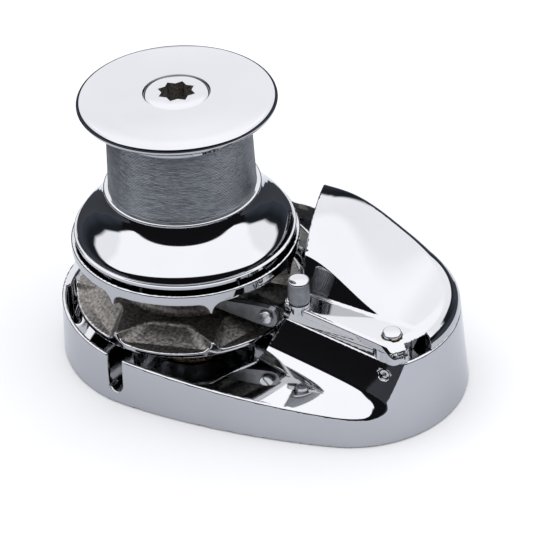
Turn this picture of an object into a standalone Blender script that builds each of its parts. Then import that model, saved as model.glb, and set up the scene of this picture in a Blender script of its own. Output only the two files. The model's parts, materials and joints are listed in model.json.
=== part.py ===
"""Vertical anchor windlass, deck unit: drum, chainwheel, teardrop base and swinging chain-pipe cover.

Frame: origin on the main shaft's axis at the deck, +X from the shaft to the hood end, +Z up.
The chain comes in over the low front deck (the -Y side), goes round the chainwheel, and drops
into the chain pipe under the hood. Every size is in metres.
"""

from math import atan2, cos, pi, radians, sin, sqrt

import bmesh
import bpy
from mathutils import Matrix, Vector

# Teardrop base: a round end at the shaft, a rounder end under the hood, joined by long arcs.
SHAFT_END_RADIUS = 0.0866
HOOD_END_RADIUS = 0.0770
HOOD_END_X = 0.1160
FLANK_RADIUS = 0.4620
SHAFT_END_DRAFT = 0.045
HOOD_END_DRAFT = 0.105

# Heights above the deck.
RIM_HEIGHT = 0.0330
RIM_SLOPE = -0.084
TOWER_TOP = 0.0560
WELL_FLOOR = 0.0090
TROUGH_FLOOR = 0.0360
COVER_TOP = 0.0700
LEDGE_UNDERSIDE = 0.0640
MOUTH_EDGE_HEIGHT = 0.0920
MOUTH_CROWN = 0.0080

# Plan sizes.
WELL_RADIUS = 0.0795
TOWER_FACE_RADIUS = 0.0812
COVER_FACE_RADIUS = 0.0850
FRONT_WALL_START = (0.0735, -0.0275)
FRONT_WALL_END = (0.1900, -0.0578)
WALL = 0.0045
GAP = 0.0003

# Rotating stack.
SHAFT_RADIUS = 0.0110
SHAFT_TOP = 0.1710
RUNNING_GAP = 0.0004
FLANGE_RADIUS = 0.0750
LOWER_FLANGE = (0.0365, 0.0405)
UPPER_FLANGE = (0.0774, 0.0854)
GROOVE = (0.0465, 0.0695)
GROOVE_ROOT = 0.0420
POCKETS = 7
POCKET_ANGLE = radians(-77.9)
DRUM_BOTTOM = 0.0885
DISC_RADIUS = 0.0635
SOCKET_TIP_RADIUS = 0.0124
SOCKET_NOTCH_RADIUS = 0.0095

# Cover pivot and lock knob.
PIVOT = (0.1595, -0.0370)
PIN_RADIUS = 0.0040
HUB_RADIUS = 0.0120
KNOB = (0.0935, -0.0295)
KNOB_RADIUS = 0.0071
KNOB_TOP = 0.0900

ROUND_STEPS = 48
SMALL_STEPS = 20

CHROME = (0.82, 0.83, 0.85)
SATIN = (0.52, 0.54, 0.56)
BRONZE = (0.62, 0.44, 0.22)
STEEL = (0.60, 0.61, 0.63)
CAST = (0.33, 0.30, 0.28)
RUBBER = (0.03, 0.03, 0.03)


def clear_scene():
    for obj in list(bpy.data.objects):
        bpy.data.objects.remove(obj, do_unlink=True)


def material(name, colour, metallic, roughness):
    made = bpy.data.materials.get(name)
    if made is None:
        made = bpy.data.materials.new(name)
        made.use_nodes = True
        shader = made.node_tree.nodes["Principled BSDF"]
        shader.inputs["Base Color"].default_value = (*colour, 1.0)
        shader.inputs["Metallic"].default_value = metallic
        shader.inputs["Roughness"].default_value = roughness
    return made


def chrome():
    return material("chrome", CHROME, 1.0, 0.06)


def satin():
    return material("satin_chrome", SATIN, 1.0, 0.35)


def bronze():
    return material("bronze", BRONZE, 1.0, 0.30)


def steel():
    return material("steel", STEEL, 1.0, 0.25)


def cast_metal():
    return material("cast_metal", CAST, 0.8, 0.60)


def rubber():
    return material("rubber", RUBBER, 0.0, 0.70)


def finish_mesh(name, mesh_builder, look, origin=(0.0, 0.0, 0.0), sharp=35.0):
    """Turns a bmesh in world coordinates into an object whose origin is at the given point."""
    bmesh.ops.remove_doubles(mesh_builder, verts=mesh_builder.verts, dist=1e-6)
    bmesh.ops.dissolve_degenerate(mesh_builder, edges=mesh_builder.edges, dist=1e-7)
    bmesh.ops.recalc_face_normals(mesh_builder, faces=mesh_builder.faces)
    wide = [face for face in mesh_builder.faces if len(face.verts) > 3]
    bmesh.ops.triangulate(mesh_builder, faces=wide)
    bmesh.ops.translate(mesh_builder, verts=mesh_builder.verts, vec=-Vector(origin))
    mesh = bpy.data.meshes.new(name)
    mesh_builder.to_mesh(mesh)
    mesh_builder.free()
    mesh.shade_smooth()
    mesh.set_sharp_from_angle(angle=radians(sharp))
    obj = bpy.data.objects.new(name, mesh)
    obj.location = origin
    bpy.context.scene.collection.objects.link(obj)
    if look is not None:
        mesh.materials.append(look)
    return obj


def lathe(name, profile, look, centre=(0.0, 0.0), steps=ROUND_STEPS, closed=True):
    """Turns a profile of (radius, height) points about the vertical line through centre.

    A closed profile makes a ring. An open one starts and ends on the axis.
    """
    turned = bmesh.new()
    points = [turned.verts.new((centre[0] + r, centre[1], z)) for r, z in profile]
    pairs = list(zip(points, points[1:]))
    if closed:
        pairs.append((points[-1], points[0]))
    edges = [turned.edges.new(pair) for pair in pairs]
    bmesh.ops.spin(
        turned,
        geom=points + edges,
        cent=(centre[0], centre[1], 0.0),
        axis=(0.0, 0.0, 1.0),
        angle=2 * pi,
        steps=steps,
        use_merge=True,
        use_duplicate=False,
    )
    return finish_mesh(name, turned, look, (centre[0], centre[1], 0.0))


def ring(name, inner, outer, low, high, look, centre=(0.0, 0.0), steps=ROUND_STEPS):
    profile = [(inner, high), (outer, high), (outer, low), (inner, low)]
    return lathe(name, profile, look, centre, steps)


def disc(name, radius, low, high, look, centre=(0.0, 0.0), steps=SMALL_STEPS):
    outline = [(centre[0] + radius * cos(t), centre[1] + radius * sin(t)) for t in
               [2 * pi * (i + 0.5) / steps for i in range(steps)]]
    return prism(name, outline, low, high, look)


def loft(name, loops, look, origin=(0.0, 0.0, 0.0), sharp=35.0):
    """Joins loops of the same number of points, and closes the first and the last."""
    body = bmesh.new()
    rows = [[body.verts.new(point) for point in loop] for loop in loops]
    for low, high in zip(rows, rows[1:]):
        for i in range(len(low)):
            j = (i + 1) % len(low)
            body.faces.new((low[i], low[j], high[j], high[i]))
    body.faces.new(list(reversed(rows[0])))
    body.faces.new(rows[-1])
    return finish_mesh(name, body, look, origin, sharp)


def prism(name, outline, low, high, look, origin=(0.0, 0.0, 0.0)):
    loops = [[(x, y, z) for x, y in outline] for z in (low, high)]
    return loft(name, loops, look, origin)


def as_cutter(obj):
    obj.hide_render = True
    obj.display_type = "WIRE"
    return obj


def combine(obj, other, operation):
    as_cutter(other)
    step = obj.modifiers.new(other.name, "BOOLEAN")
    step.operation = operation
    step.object = other
    step.solver = "EXACT"


def cut(obj, *cutters):
    for cutter in cutters:
        combine(obj, cutter, "DIFFERENCE")


def arc(centre, radius, start, end, count):
    """Points on an arc, both ends included."""
    turns = [start + (end - start) * i / (count - 1) for i in range(count)]
    return [(centre[0] + radius * cos(t), centre[1] + radius * sin(t)) for t in turns]


def teardrop(height, inset=0.0, flank=7, end=18, nose=22):
    """The base's outline at a height, counter-clockwise, with its walls leaning in."""
    shaft_end = SHAFT_END_RADIUS - SHAFT_END_DRAFT * height - inset
    hood_end = HOOD_END_RADIUS - HOOD_END_DRAFT * height - inset
    side = FLANK_RADIUS - inset
    to_shaft = side - shaft_end
    to_hood = side - hood_end
    across = (to_shaft**2 - to_hood**2 + HOOD_END_X**2) / (2 * HOOD_END_X)
    back = sqrt(to_shaft**2 - across**2)
    first = atan2(-back, -across)
    last = atan2(-back, HOOD_END_X - across)
    near = arc((across, back), side, first, last, flank)
    far = [(x, -y) for x, y in reversed(near)]
    hood = arc((HOOD_END_X, 0.0), hood_end, last, -last, end)
    nose_arc = arc((0.0, 0.0), shaft_end, -first, 2 * pi + first, nose)
    return near[:-1] + hood + far[1:-1] + nose_arc[:-1]


def outline_y(x, height, inset=0.0):
    """Half width of the teardrop at x, on its flank or hood end."""
    hood_end = HOOD_END_RADIUS - HOOD_END_DRAFT * height - inset
    points = teardrop(height, inset)
    upper = sorted(point for point in points if point[1] > 0)
    for (x0, y0), (x1, y1) in zip(upper, upper[1:]):
        if x0 <= x <= x1:
            return y0 + (y1 - y0) * (x - x0) / max(x1 - x0, 1e-9)
    return max(0.0, hood_end)


def rim_height(x):
    return RIM_HEIGHT + RIM_SLOPE * x


def front_wall_y(x):
    """The tower's front wall in plan."""
    (x0, y0), (x1, y1) = FRONT_WALL_START, FRONT_WALL_END
    return y0 + (y1 - y0) * (x - x0) / (x1 - x0)


def low_region():
    """Plan of everything outside the tower, which is cut down to the sloping rim."""
    tower_face = arc((0.0, 0.0), TOWER_FACE_RADIUS - 0.004, radians(-18.0), radians(76.0), 12)
    far_corner = [(0.030, 0.116), (-0.110, 0.110), (-0.110, -0.110), (0.200, -0.110)]
    return [FRONT_WALL_END, (0.0680, front_wall_y(0.0680))] + tower_face + far_corner


def lip_curve():
    """Where the well's wall meets the front deck."""
    return [(0.0540, -0.0775), (0.0515, -0.0725), (0.0525, -0.0650), (0.0580, -0.0550),
            (0.0645, -0.0450), (0.0680, -0.0360), (0.0720, -0.0290)]


def well_outline():
    """Plan of the well: a circle round the chainwheel, let out to the rim at the front."""
    circle = arc((0.0, 0.0), TOWER_FACE_RADIUS, radians(-20.5), radians(80.0), 14)
    nose = arc((0.0, 0.0), WELL_RADIUS, radians(84.0), radians(250.0), 26)
    flank = [(x, -outline_y(x, 0.030, 0.0042)) for x in (-0.020, -0.005, 0.010, 0.025, 0.040)]
    return circle + nose + flank + lip_curve()


def chain_pipe_outline(inset=0.0):
    """Plan of the chain pipe: a slot with round ends, across the hood."""
    middle_x, radius = 0.1120, 0.0200 - inset
    low = arc((middle_x, 0.0260), radius, pi, 2 * pi, 9)
    high = arc((middle_x, 0.0380), radius, 0.0, pi, 9)
    return low + high


def deck_cutter():
    """Takes away everything above the sloping rim, outside the tower."""
    region = low_region()
    low = [(x, y, rim_height(x)) for x, y in region]
    high = [(x, y, TOWER_TOP + 0.010) for x, y in region]
    return loft("deck_cutter", [low, high], None)


def trough_cutter():
    """The channel that leads the chain from the chainwheel into the pipe."""
    outline = [(0.0600, 0.0100), (0.1100, 0.0060), (0.1315, 0.0250), (0.1315, 0.0390),
               (0.1150, 0.0575), (0.0400, 0.0600)]
    return prism("trough_cutter", outline, TROUGH_FLOOR, TOWER_TOP + 0.010, None)


def drain_slot_cutter():
    """A slot with a round bottom through the rim's near side."""
    angle = radians(-99.3)
    half, bottom, top = 0.0058, 0.0145, 0.0600
    profile = [(-half, top)] + [
        (half * cos(t), bottom + half * sin(t)) for t in [pi + pi * i / 10 for i in range(11)]
    ] + [(half, top)]
    outward = Vector((cos(angle), sin(angle), 0.0))
    across = Vector((-sin(angle), cos(angle), 0.0))
    loops = [
        [tuple(outward * reach + across * s + Vector((0.0, 0.0, z))) for s, z in profile]
        for reach in (0.0760, 0.0950)
    ]
    return loft("drain_slot_cutter", loops, None)


BOSS_PROFILE = [(0.0190, 0.0220), (0.0260, 0.0220), (0.0260, 0.0050), (0.0240, 0.0050),
                (0.0240, 0.0028), (0.0150, 0.0028), (0.0150, 0.0160), (0.0190, 0.0160)]
STUD_PLACES = [(-0.045, -0.040), (-0.045, 0.040), (0.139, 0.061), (0.152, -0.054)]


def underside_pockets():
    """Hollows cored from below, one under the front deck, one in the tower and one in its end."""
    front = [(0.0830, -0.0640), (0.1360, -0.0610), (0.1360, -0.0480), (0.0830, -0.0380)]
    tower = [(0.0920, -0.0270), (0.1340, -0.0360), (0.1340, -0.0040), (0.0920, -0.0020)]
    end = [(0.1400, -0.0230), (0.1700, -0.0230), (0.1790, 0.0), (0.1740, 0.0290), (0.1560, 0.0500),
           (0.1400, 0.0480)]
    return [
        prism("front_pocket", front, -0.010, 0.0160, None),
        prism("tower_pocket", tower, -0.010, 0.0480, None),
        prism("end_pocket", end, -0.010, 0.0500, None),
    ]


def base_casting():
    base = loft(
        "base_casting",
        [[(x, y, z) for x, y in teardrop(z)] for z in (0.0, TOWER_TOP)],
        chrome(),
    )
    well = prism("well_cutter", well_outline(), WELL_FLOOR, TOWER_TOP + 0.010, None)
    hub = disc("hub_cutter", 0.0225, -0.010, 0.0300, None, steps=36)
    boss = lathe("bearing_boss", BOSS_PROFILE, None, steps=32)
    pipe = prism("pipe_cutter", chain_pipe_outline(), -0.010, TOWER_TOP + 0.010, None)
    seat = prism("gasket_seat", teardrop(0.0, 0.0030), -0.010, 0.0020, None)
    cut(base, deck_cutter(), well, trough_cutter(), pipe, drain_slot_cutter(), seat, hub)
    for number, place in enumerate(STUD_PLACES):
        cut(base, disc("stud_hole_%d" % number, 0.0042, -0.010, 0.0070, None, place, 16))
    spring_seat = disc("spring_seat", 0.0080, 0.0505, TOWER_TOP + 0.010, None, PIVOT)
    pin_hole = disc("pin_hole", PIN_RADIUS + GAP, 0.0300, 0.0530, None, PIVOT)
    cut(base, spring_seat, pin_hole, set_screw_hole(), *underside_pockets())
    combine(base, boss, "UNION")
    return base


def across_cylinder(name, radius, x, z, y_low, y_high, look, steps=SMALL_STEPS):
    """A cylinder along Y."""
    loops = [
        [(x + radius * cos(t), y, z + radius * sin(t)) for t in
         [2 * pi * i / steps for i in range(steps)]]
        for y in (y_high, y_low)
    ]
    return loft(name, loops, look, (x, y_low, z))


SET_SCREW = (0.1590, 0.0470)
STRIPPER_SCREW = (0.0715, 0.0570)


def set_screw_hole():
    x, z = SET_SCREW
    return across_cylinder("set_screw_hole", 0.0033, x, z, -0.0600, PIVOT[1] - 0.0020, None, 16)


def pivot_set_screw():
    """Grub screw that holds the pivot pin in the tower, with a hexagon socket."""
    x, z = SET_SCREW
    screw = across_cylinder("pivot_set_screw", 0.0030, x, z, -0.0485, -0.0414, steel(), 20)
    key = across_cylinder("set_screw_socket", 0.0016, x, z, -0.0500, -0.0455, None, 6)
    cut(screw, key)
    return screw


def stripper_screw_hole():
    x, z = STRIPPER_SCREW
    return across_cylinder("stripper_screw_hole", 0.0028, x, z, -0.0350, -0.0140, None, 16)


def deck_gasket():
    gasket = prism("deck_gasket", teardrop(0.0, 0.0034), 0.0, 0.0017, rubber())
    pipe = prism("gasket_pipe_cutter", chain_pipe_outline(-0.0010), -0.010, 0.010, None)
    cut(gasket, pipe, disc("gasket_bore", 0.0220, -0.010, 0.010, None, steps=32))
    for number, place in enumerate(STUD_PLACES):
        cut(gasket, disc("gasket_stud_%d" % number, 0.0050, -0.010, 0.010, None, place, 16))
    return gasket


KEY_WIDTH = 0.0060
KEY_LOW = 0.0085
KEY_HIGH = 0.0135


def key_block(name, low, high, look, spare=0.0):
    """A parallel key lying along the shaft on its +X side."""
    half = KEY_WIDTH / 2 + spare
    x0, x1 = KEY_LOW - spare, KEY_HIGH + spare
    outline = [(x0, -half), (x1, -half), (x1, half), (x0, half)]
    return prism(name, outline, low - spare, high + spare, look)


KEYS = {"lower_cone_key": (0.0270, 0.0460), "upper_cone_key": (0.0745, 0.0850),
        "drum_key": (0.0950, 0.1450)}


def keyway(name, host):
    low, high = KEYS[name]
    return key_block("%s_way_in_%s" % (name, host), low, high, None, GAP)


def main_shaft():
    groove = [(SHAFT_RADIUS, 0.0026), (0.0095, 0.0026), (0.0095, 0.0010), (SHAFT_RADIUS, 0.0010)]
    profile = [(0.0, SHAFT_TOP), (SHAFT_RADIUS - 0.001, SHAFT_TOP),
               (SHAFT_RADIUS, SHAFT_TOP - 0.001)] + groove
    profile += [(SHAFT_RADIUS, 0.0004), (0.0, 0.0004)]
    shaft = lathe("main_shaft", profile, steel(), steps=32, closed=False)
    cut(shaft, *[keyway(name, "shaft") for name in KEYS])
    return shaft


def shaft_circlip():
    clip = ring("shaft_circlip", 0.0098, 0.0142, 0.0013, 0.0023, steel(), steps=32)
    gap = [(0.0060, -0.0025), (0.0200, -0.0045), (0.0200, 0.0045), (0.0060, 0.0025)]
    cut(clip, prism("circlip_gap", gap, 0.0, 0.0040, None))
    return clip


def shaft_bearings():
    inner = SHAFT_RADIUS + RUNNING_GAP
    ring("shaft_bush", inner, 0.0147, 0.0030, 0.0155, bronze(), steps=32)
    ring("shaft_seal", inner, 0.0187, 0.0163, 0.0217, rubber(), steps=32)
    ring("lower_thrust_washer", inner, 0.0240, 0.0223, 0.0240, bronze(), steps=32)
    ring("gypsy_bush", inner, 0.0162, 0.0500, 0.0716, bronze(), steps=32)


def clutch_cones():
    inner = SHAFT_RADIUS + GAP
    lower = [(inner, 0.0490), (0.0355, 0.0490), (0.0405, 0.0350), (0.0405, 0.0300),
             (0.0300, 0.0243), (inner, 0.0243)]
    upper = [(inner, 0.0870), (0.0405, 0.0870), (0.0405, 0.0860), (0.0355, 0.0725), (inner, 0.0725)]
    low_cone = lathe("lower_clutch_cone", lower, steel())
    high_cone = lathe("upper_clutch_cone", upper, steel())
    cut(low_cone, keyway("lower_cone_key", "lower_cone"))
    cut(high_cone, keyway("upper_cone_key", "upper_cone"))


def pocket_loop(reach, angle, half_width, low, high, corner, steps=3):
    """A rounded rectangle facing the shaft at a distance from it."""
    outward = Vector((cos(angle), sin(angle), 0.0))
    across = Vector((-sin(angle), cos(angle), 0.0))
    points = []
    corners = [(half_width - corner, high - corner, 0.0), (corner - half_width, high - corner, pi / 2),
               (corner - half_width, low + corner, pi), (half_width - corner, low + corner, 1.5 * pi)]
    for s, z, start in corners:
        for i in range(steps + 1):
            t = start + pi / 2 * i / steps
            place = outward * reach + across * (s + corner * cos(t))
            points.append(tuple(place + Vector((0.0, 0.0, z + corner * sin(t)))))
    return points


def gypsy():
    """Chainwheel: a wheel with a groove for the upright links and a pocket for each flat link."""
    low, high = LOWER_FLANGE[0], UPPER_FLANGE[1]
    profile = [(0.0165, 0.0720), (0.0362, 0.0720), (0.0412, high), (FLANGE_RADIUS - 0.0008, high),
               (FLANGE_RADIUS, high - 0.0008), (FLANGE_RADIUS, GROOVE[1]), (0.0470, 0.0660),
               (GROOVE_ROOT, 0.0630), (GROOVE_ROOT, 0.0520), (0.0470, 0.0490),
               (FLANGE_RADIUS, GROOVE[0]), (FLANGE_RADIUS, low + 0.0008),
               (FLANGE_RADIUS - 0.0008, low), (0.0412, low), (0.0362, 0.0495), (0.0165, 0.0495)]
    wheel = lathe("gypsy", profile, cast_metal(), steps=56)
    half_pitch = pi / POCKETS
    outer_half = FLANGE_RADIUS * sin(half_pitch)
    for number in range(POCKETS):
        angle = POCKET_ANGLE + number * 2 * half_pitch
        top, bottom = UPPER_FLANGE[0], LOWER_FLANGE[1]
        loops = [
            pocket_loop(0.0510, angle, 0.0165, 0.0470, 0.0680, 0.0070),
            pocket_loop(0.0600, angle, 0.0245, 0.0430, 0.0730, 0.0085),
            pocket_loop(FLANGE_RADIUS * cos(half_pitch), angle, outer_half - 0.0004, bottom, top, 0.0100),
            pocket_loop(0.0800, angle, outer_half + 0.0030, bottom - 0.0006, top + 0.0006, 0.0100),
        ]
        cut(wheel, loft("pocket_cutter_%d" % number, loops, None))
    return wheel


def drum_outside():
    """Outer side of the drum from the top face down to the skirt's lip."""
    top = [(0.0215, 0.1901), (0.0400, 0.1893), (0.0540, 0.1880), (0.0610, 0.1868),
           (DISC_RADIUS - 0.0004, 0.1857), (DISC_RADIUS, 0.1846), (DISC_RADIUS - 0.0006, 0.1834),
           (0.0600, 0.1822), (0.0540, 0.1800), (0.0495, 0.1770), (0.0470, 0.1730)]
    barrel = [(0.0463, 0.1690), (0.0466, 0.1600), (0.0472, 0.1450), (0.0477, 0.1300),
              (0.0481, 0.1232), (0.0500, 0.1222), (0.0513, 0.1202)]
    skirt = [(0.0530, 0.1160), (0.0549, 0.1130), (0.0570, 0.1100), (0.0595, 0.1070),
             (0.0621, 0.1040), (0.0650, 0.1010), (0.0676, 0.0980), (0.0699, 0.0950)]
    lip = [(0.0710, 0.0925), (0.0727, 0.0914), (0.0727, DRUM_BOTTOM)]
    return top + barrel + skirt + lip


def drum():
    inside = [(0.0692, DRUM_BOTTOM), (0.0672, 0.0930), (0.0620, 0.0985), (0.0520, 0.1080),
              (0.0430, 0.1130), (0.0410, 0.1680), (0.0240, 0.1680), (0.0240, 0.0873),
              (0.0116, 0.0873), (0.0116, 0.1550), (0.0176, 0.1550), (0.0176, 0.1777),
              (0.0215, 0.1777)]
    barrel = lathe("drum", drum_outside() + inside, chrome())
    cut(barrel, keyway("drum_key", "drum"))
    return barrel


def star(radius_out, radius_in, points):
    return [
        (r * cos(t), r * sin(t))
        for i in range(2 * points)
        for r, t in [((radius_out, radius_in)[i % 2], pi * i / points + radians(8.0))]
    ]


def clutch_nut():
    """Flush nut that presses the clutch together, with the handle socket."""
    profile = [(0.0090, 0.1905), (0.0202, 0.1905), (0.0212, 0.1896), (0.0212, 0.1781),
               (0.0172, 0.1781), (0.0172, 0.1580), (0.0113, 0.1580), (0.0113, 0.1719),
               (0.0090, 0.1719)]
    nut = lathe("clutch_nut", profile, chrome())
    socket = star(SOCKET_TIP_RADIUS, SOCKET_NOTCH_RADIUS, 8)
    cut(nut, prism("socket_cutter", socket, 0.1725, 0.2000, None))
    return nut


def rotating_stack():
    main_shaft()
    shaft_circlip()
    shaft_bearings()
    clutch_cones()
    for name, (low, high) in KEYS.items():
        key_block(name, low, high, steel())
    gypsy()
    drum()
    clutch_nut()
    ring("clutch_washer", SHAFT_RADIUS + GAP, 0.0170, 0.1554, 0.1576, bronze(), steps=32)


def hood_fade(x):
    """1 over the mouth, falling smoothly to 0 where the hood runs out into the flat end."""
    t = min(max((x - 0.084) / 0.082, 0.0), 1.0)
    return 0.5 * (1.0 + cos(pi * t))


def near_side_y(x):
    """The hood's near wall in plan."""
    return -0.0135 - 0.125 * (x - 0.087)


def hood_top(x, y, low_y, high_y):
    middle = (low_y + high_y) / 2
    across = (y - middle) / ((high_y - low_y) / 2)
    rise = MOUTH_EDGE_HEIGHT - COVER_TOP + MOUTH_CROWN * (1 - across * across)
    return COVER_TOP + rise * hood_fade(x)


def mouth_x(y):
    """The mouth's edge in plan, leaning back on the far side."""
    return 0.0835 - 0.235 * y - 1.2 * (y - 0.010) * (y - 0.010)


def hood_body(name, inset, base_height, stations=11, across=8, reach=0.0):
    """The hood's outer form, or with an inset its hollow, as a grid closed at the base height."""
    rows = []
    for i in range(stations):
        share = i / (stations - 1)
        row = []
        for j in range(across + 1):
            side = j / across
            x_end = 0.1640 - inset * 2.2
            x_guess = 0.085 + (x_end - 0.085) * share
            low_y = near_side_y(x_guess) + inset
            high_y = outline_y(x_guess, 0.080, 0.0015 + inset)
            y = low_y + (high_y - low_y) * side
            start = mouth_x(y) - reach
            x = start + (x_end - start) * share
            low_here = near_side_y(x) + inset
            high_here = outline_y(x, 0.080, 0.0015 + inset)
            y = low_here + (high_here - low_here) * side
            row.append((x, y, hood_top(x, y, low_here - inset, high_here + inset) - inset))
        rows.append(row)
    body = bmesh.new()
    top = [[body.verts.new(point) for point in row] for row in rows]
    floor = [[body.verts.new((x, y, base_height)) for x, y, _ in row] for row in rows]
    for grid in (top, floor):
        for a, b in zip(grid, grid[1:]):
            for j in range(across):
                body.faces.new((a[j], a[j + 1], b[j + 1], b[j]))
    edge_top = top[0] + [row[-1] for row in top[1:]] + top[-1][-2::-1]
    edge_floor = floor[0] + [row[-1] for row in floor[1:]] + floor[-1][-2::-1]
    edge_top += [row[0] for row in top[-2:0:-1]]
    edge_floor += [row[0] for row in floor[-2:0:-1]]
    count = len(edge_top)
    for i in range(count):
        j = (i + 1) % count
        body.faces.new((edge_top[i], edge_top[j], edge_floor[j], edge_floor[i]))
    return finish_mesh(name, body, None)


def cover_region(height, inset=0.0):
    """Plan of the cover: the tower's plan, cut back round the chainwheel."""
    hood_end = HOOD_END_RADIUS - HOOD_END_DRAFT * height - inset
    hood = arc((HOOD_END_X, 0.0), hood_end, radians(-44.0), radians(50.0), 14)
    far = [(x, outline_y(x, height, inset)) for x in
           (0.153, 0.144, 0.130, 0.110, 0.090, 0.070, 0.050, 0.036)]
    front = [(x, front_wall_y(x) + inset) for x in (0.090, 0.130, 0.160)]
    face = arc((0.0, 0.0), COVER_FACE_RADIUS + inset, radians(65.5), atan2(-0.0310, 0.0795), 14)
    return front + hood + far + face


def cover_hollow():
    """Under the ledge: the arm's space, open at the front, and the rest behind thin walls."""
    hub = arc(PIVOT, HUB_RADIUS + 0.0005, radians(-80.0), radians(-5.0), 7)
    end = arc((HOOD_END_X, 0.0), HOOD_END_RADIUS - 0.0140, radians(-24.0), radians(48.0), 10)
    far = [(x, outline_y(x, 0.060, 0.0062)) for x in (0.140, 0.120, 0.100, 0.080, 0.060)]
    face = arc((0.0, 0.0), COVER_FACE_RADIUS - 0.010, radians(48.0), radians(-38.0), 10)
    outside = [(0.0700, -0.070), (0.1565, -0.070)]
    return outside + hub + end + far + face


def side_notch():
    """The stop notch in the cover's end wall."""
    outline = [(0.1700, -0.0375), (0.1830, -0.0455), (0.1910, -0.0290), (0.1770, -0.0230)]
    return prism("side_notch", outline, 0.0500, 0.0670, None)


def chain_pipe_cover():
    """Hood and ledge in one casting, which swings about the pivot pin."""
    low, high = TOWER_TOP + GAP, COVER_TOP
    loops = [[(x, y, z) for x, y in cover_region(z)] for z in (low, high - 0.0035)]
    loops.append([(x, y, high - 0.0010) for x, y in cover_region(high, 0.0010)])
    loops.append([(x, y, high) for x, y in cover_region(high, 0.0035)])
    cover = loft("chain_pipe_cover", loops, chrome())
    combine(cover, hood_body("hood_form", 0.0, 0.0660), "UNION")
    hollow = prism("cover_hollow", cover_hollow(), 0.0500, LEDGE_UNDERSIDE, None)
    inside = hood_body("hood_hollow", WALL, 0.0500, reach=0.020)
    cut(cover, hollow, inside, side_notch())
    pin_hole = disc("cover_pin_hole", 0.0063, 0.0500, 0.0800, None, PIVOT)
    bush_hole = disc("knob_bush_hole", 0.0053, 0.0500, 0.0800, None, KNOB)
    cut(cover, pin_hole, bush_hole)
    return cover


def arm_outline():
    """Plan of the pressure arm: a bar from the pivot, with a finger in the chainwheel's groove."""
    front = [(0.0810, -0.0291)]
    hub = arc(PIVOT, HUB_RADIUS, radians(-170.0), radians(140.0), 26)
    back = [(0.1200, -0.0215), (0.0900, -0.0110), (0.0740, -0.0060)]
    finger = [(0.0620, -0.0070), (0.0530, -0.0110), (0.0475, -0.0180), (0.0470, -0.0288),
              (0.0790, -0.0288)]
    return front + hub + back + finger


def pressure_arm():
    arm = prism("pressure_arm", arm_outline(), TOWER_TOP + GAP, LEDGE_UNDERSIDE - GAP, chrome(),
                (PIVOT[0], PIVOT[1], TOWER_TOP))
    lug = [(0.0580, -0.0285), (0.0752, -0.0285), (0.0740, -0.0140), (0.0620, -0.0150)]
    combine(arm, prism("arm_lug", lug, 0.0505, 0.0600, None), "UNION")
    cut(arm, disc("arm_bore", 0.0063, 0.0500, 0.0700, None, PIVOT), stripper_screw_hole())
    return arm


def pivot_group():
    """Pin, bushes and the arm's return spring, all about the pivot's axis."""
    pin = [(0.0, 0.0729), (0.0035, 0.0727), (0.0055, 0.0720), (0.0061, 0.0712), (0.0061, 0.0703),
           (PIN_RADIUS, 0.0703), (PIN_RADIUS, 0.0305), (0.0, 0.0305)]
    lathe("pivot_pin", pin, chrome(), PIVOT, SMALL_STEPS, closed=False)
    inner = PIN_RADIUS + GAP
    ring("cover_bush", inner, 0.0060, LEDGE_UNDERSIDE, 0.0700, bronze(), PIVOT, SMALL_STEPS)
    ring("arm_bush", inner, 0.0060, 0.0563, 0.0637, bronze(), PIVOT, SMALL_STEPS)
    coil("arm_spring", PIVOT, 0.0062, 0.0006, 0.0508, 0.0558, 3, steel())


def coil(name, centre, radius, wire, low, high, turns, look, sides=4, per_turn=10):
    """A round wire spring about a vertical line."""
    path = bpy.data.curves.new(name, "CURVE")
    path.dimensions = "3D"
    path.bevel_depth = wire
    path.bevel_resolution = (sides - 4) // 2
    path.use_fill_caps = True
    path.resolution_u = 1
    run = path.splines.new("POLY")
    count = turns * per_turn + 1
    run.points.add(count - 1)
    rise = high - low - 2 * wire
    for i in range(count):
        t = 2 * pi * i / per_turn
        z = low + wire + rise * i / (count - 1)
        run.points[i].co = (radius * cos(t), radius * sin(t), z, 1.0)
    path.materials.append(look)
    obj = bpy.data.objects.new(name, path)
    obj.location = (centre[0], centre[1], 0.0)
    bpy.context.scene.collection.objects.link(obj)
    return obj


def lock_knob_group():
    """Sprung plunger that locks the cover: bush, pin, spring and knurled knob."""
    bush = [(0.0028, 0.0790), (0.0054, 0.0790), (0.0054, 0.0722), (0.0068, 0.0722),
            (0.0068, 0.0703), (0.0050, 0.0703), (0.0050, 0.0643), (0.0042, 0.0643),
            (0.0042, 0.0775), (0.0028, 0.0775)]
    lathe("plunger_bush", bush, steel(), KNOB, SMALL_STEPS)
    pin = [(0.0, 0.0857), (0.0025, 0.0857), (0.0025, 0.0656), (0.0039, 0.0656), (0.0039, 0.0644),
           (0.0, 0.0644)]
    lathe("plunger_pin", pin, steel(), KNOB, SMALL_STEPS, closed=False)
    knob = [(0.0, KNOB_TOP), (KNOB_RADIUS - 0.0010, KNOB_TOP), (KNOB_RADIUS, KNOB_TOP - 0.0010),
            (KNOB_RADIUS, 0.0735), (KNOB_RADIUS - 0.0006, 0.0728), (0.0058, 0.0728),
            (0.0058, 0.0796), (0.0028, 0.0796), (0.0028, 0.0860), (0.0, 0.0860)]
    lathe("lock_knob", knob, satin(), KNOB, 40, closed=False)
    coil("plunger_spring", KNOB, 0.0034, 0.0004, 0.0660, 0.0771, 5, steel())


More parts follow.
